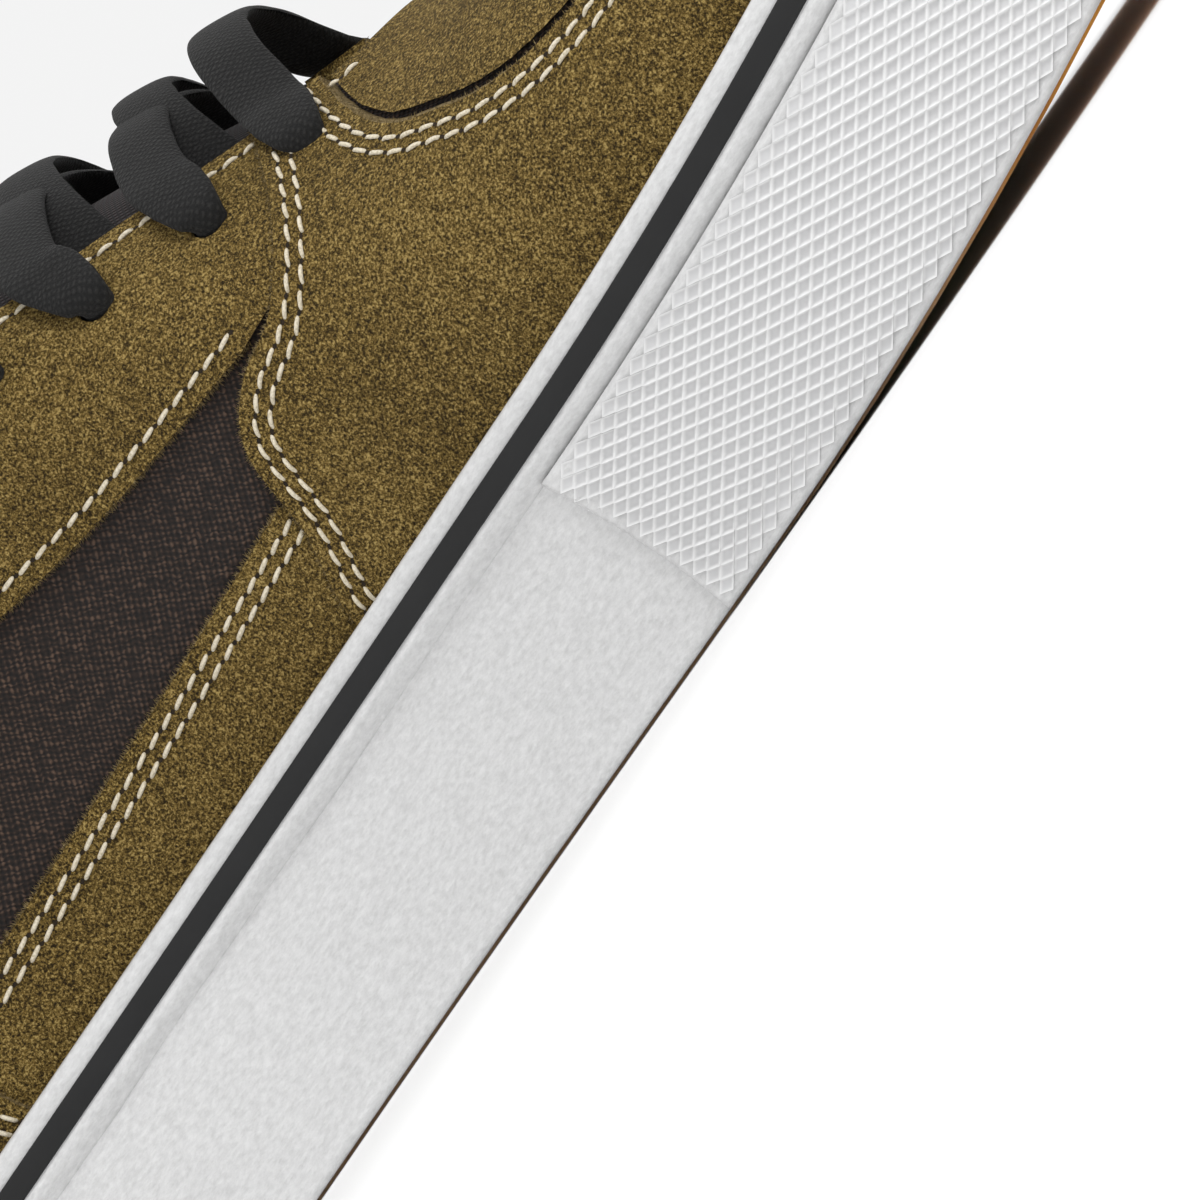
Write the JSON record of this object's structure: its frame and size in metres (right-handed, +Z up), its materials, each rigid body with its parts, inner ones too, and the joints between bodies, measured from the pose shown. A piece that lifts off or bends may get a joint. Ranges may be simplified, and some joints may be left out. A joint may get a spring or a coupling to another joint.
{
  "type": "skateboarding shoe",
  "caption": "Low-top left skateboarding shoe with a lattice tread, white rubber foxing, a textured toe strip, suede overlays and flat laces.",
  "frame": {"origin": "bottom centre of the shoe's bounding box, on the plane that the tread stands on", "axes": "+X to the toe, +Y to the outer side of the foot, +Z up"},
  "size_m": [0.2928, 0.106, 0.1097],
  "materials": {
    "gum_rubber": "matt moulded gum rubber",
    "sponge_core": "matt foam",
    "footbed_cloth": "matt cloth",
    "white_rubber": "satin rubber",
    "black_rubber": "satin rubber",
    "woven_textile": "matt weave",
    "khaki_suede": "napped suede",
    "collar_cloth": "matt knit",
    "tongue_cloth": "matt weave",
    "black_lace": "matt woven cord"
  },
  "bodies": {
    "root": {"outsole": "gum_rubber", "midsole": "sponge_core", "insole": "footbed_cloth", "foxing": "white_rubber", "toe_bumper": "white_rubber", "top_tape": "white_rubber", "tape_stripe": "black_rubber", "upper": "woven_textile", "mudguard": "khaki_suede", "vamp": "khaki_suede", "eyestay_inner": "khaki_suede", "eyestay_outer": "khaki_suede", "side_band_inner": "khaki_suede", "side_band_outer": "khaki_suede", "heel_counter": "khaki_suede", "collar_padding": "collar_cloth", "tongue": "tongue_cloth", "lace_bar": "black_lace", "lace_crossing_1": "black_lace", "lace_crossing_2": "black_lace", "lace_crossing_3": "black_lace", "lace_crossing_4": "black_lace"}
  },
  "joints": []
}
